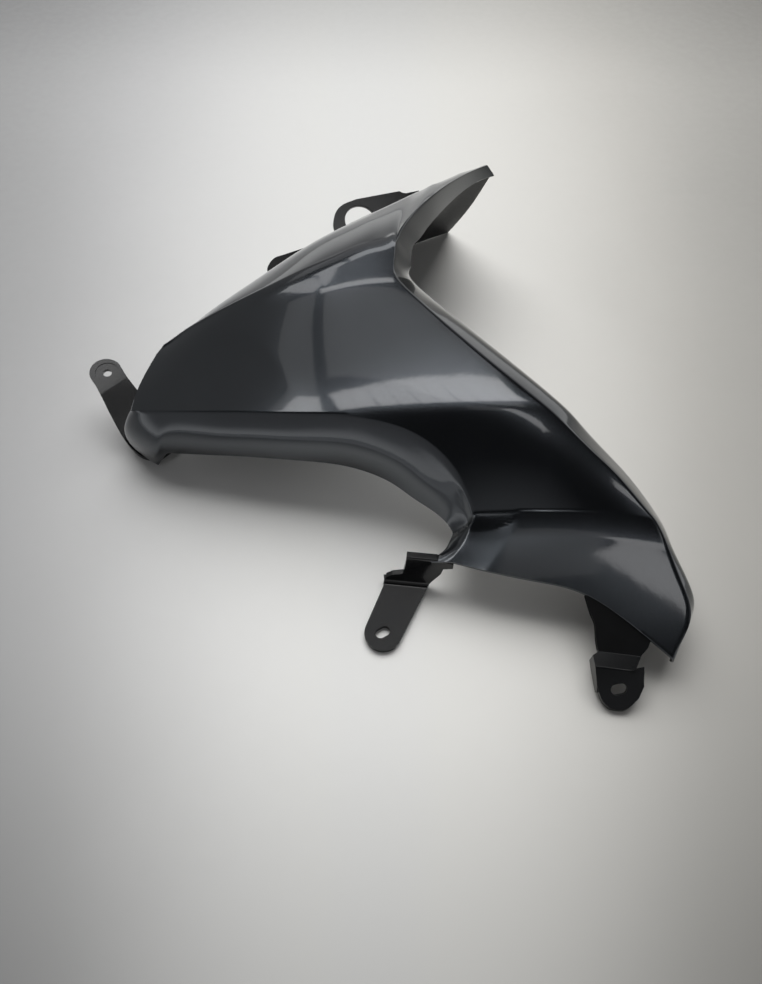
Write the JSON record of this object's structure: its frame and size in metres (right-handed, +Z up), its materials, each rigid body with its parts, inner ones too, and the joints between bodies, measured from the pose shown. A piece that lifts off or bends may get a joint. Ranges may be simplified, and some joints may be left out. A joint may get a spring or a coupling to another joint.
{
  "type": "motorcycle side fairing panel",
  "caption": "Folded side fairing panel with a raised wing, a scooped leg and moulded mounting tabs, painted dark graphite, lying open side down.",
  "frame": {"origin": "centre of the bounding box's base, on the surface the panel lies on", "axes": "+Y from the lower tabs to the wing's back, +X from the left tab to the leg, +Z up, away from the surface it lies on"},
  "size_m": [0.3856, 0.4164, 0.1011],
  "materials": {
    "panel": "dark graphite metallic paint under clear gloss lacquer outside, satin bare plastic inside"
  },
  "bodies": {
    "root": {"fairing_panel": "panel"}
  },
  "joints": []
}
